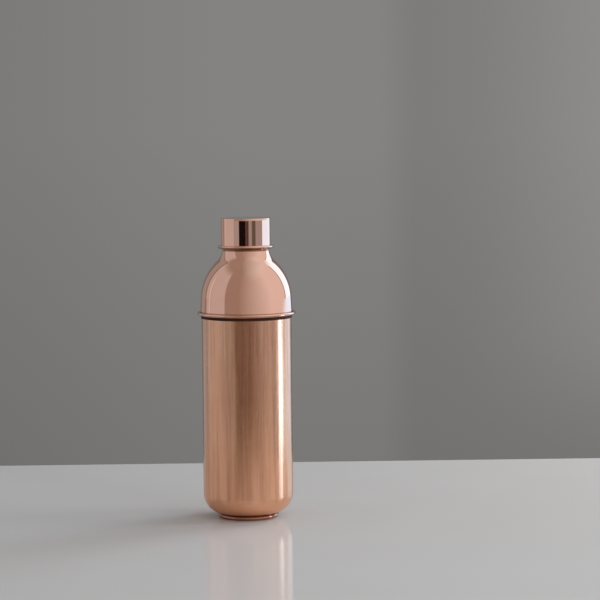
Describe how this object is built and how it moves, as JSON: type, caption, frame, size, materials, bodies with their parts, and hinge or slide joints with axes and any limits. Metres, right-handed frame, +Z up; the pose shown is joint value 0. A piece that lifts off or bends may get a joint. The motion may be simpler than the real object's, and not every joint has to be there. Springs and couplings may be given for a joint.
{
  "type": "growler",
  "caption": "Copper growler: insulated straight body on a rolled foot ring, with a domed shoulder and a straight cap that lift off, each ending in a rolled bead.",
  "frame": {"origin": "middle of the foot ring's flat face, on the axis of the bottle", "axes": "+Z up along the axis from the foot to the cap; the part is round, so +X and +Y are free"},
  "size_m": [0.0956, 0.0956, 0.2916],
  "materials": {
    "copper_satin": "copper, turned and polished to a satin",
    "copper_polished": "copper, mirror polished",
    "steel": "fine brushed stainless steel",
    "silicone": "matte",
    "plastic": "moulded matte",
    "glass_solder": "fused",
    "getter_metal": "sintered"
  },
  "bodies": {
    "body": {"body_shell": "copper_satin", "body_liner": "steel", "base_cup": "copper_polished", "vacuum_plug": "glass_solder", "getter": "getter_metal", "grip_band": "silicone"},
    "shoulder": {"shoulder_shell": "copper_polished", "shoulder_seal": "silicone"},
    "cap": {"cap_shell": "copper_polished", "stopper_core": "plastic", "stopper_seal": "silicone"}
  },
  "joints": [
    {"name": "shoulder_pull", "type": "slide", "parent": "body", "child": "shoulder", "axis": [0, 0, 1], "range_m": [0, 0.06]},
    {"name": "cap_pull", "type": "slide", "parent": "shoulder", "child": "cap", "axis": [0, 0, 1], "range_m": [0, 0.05]}
  ]
}
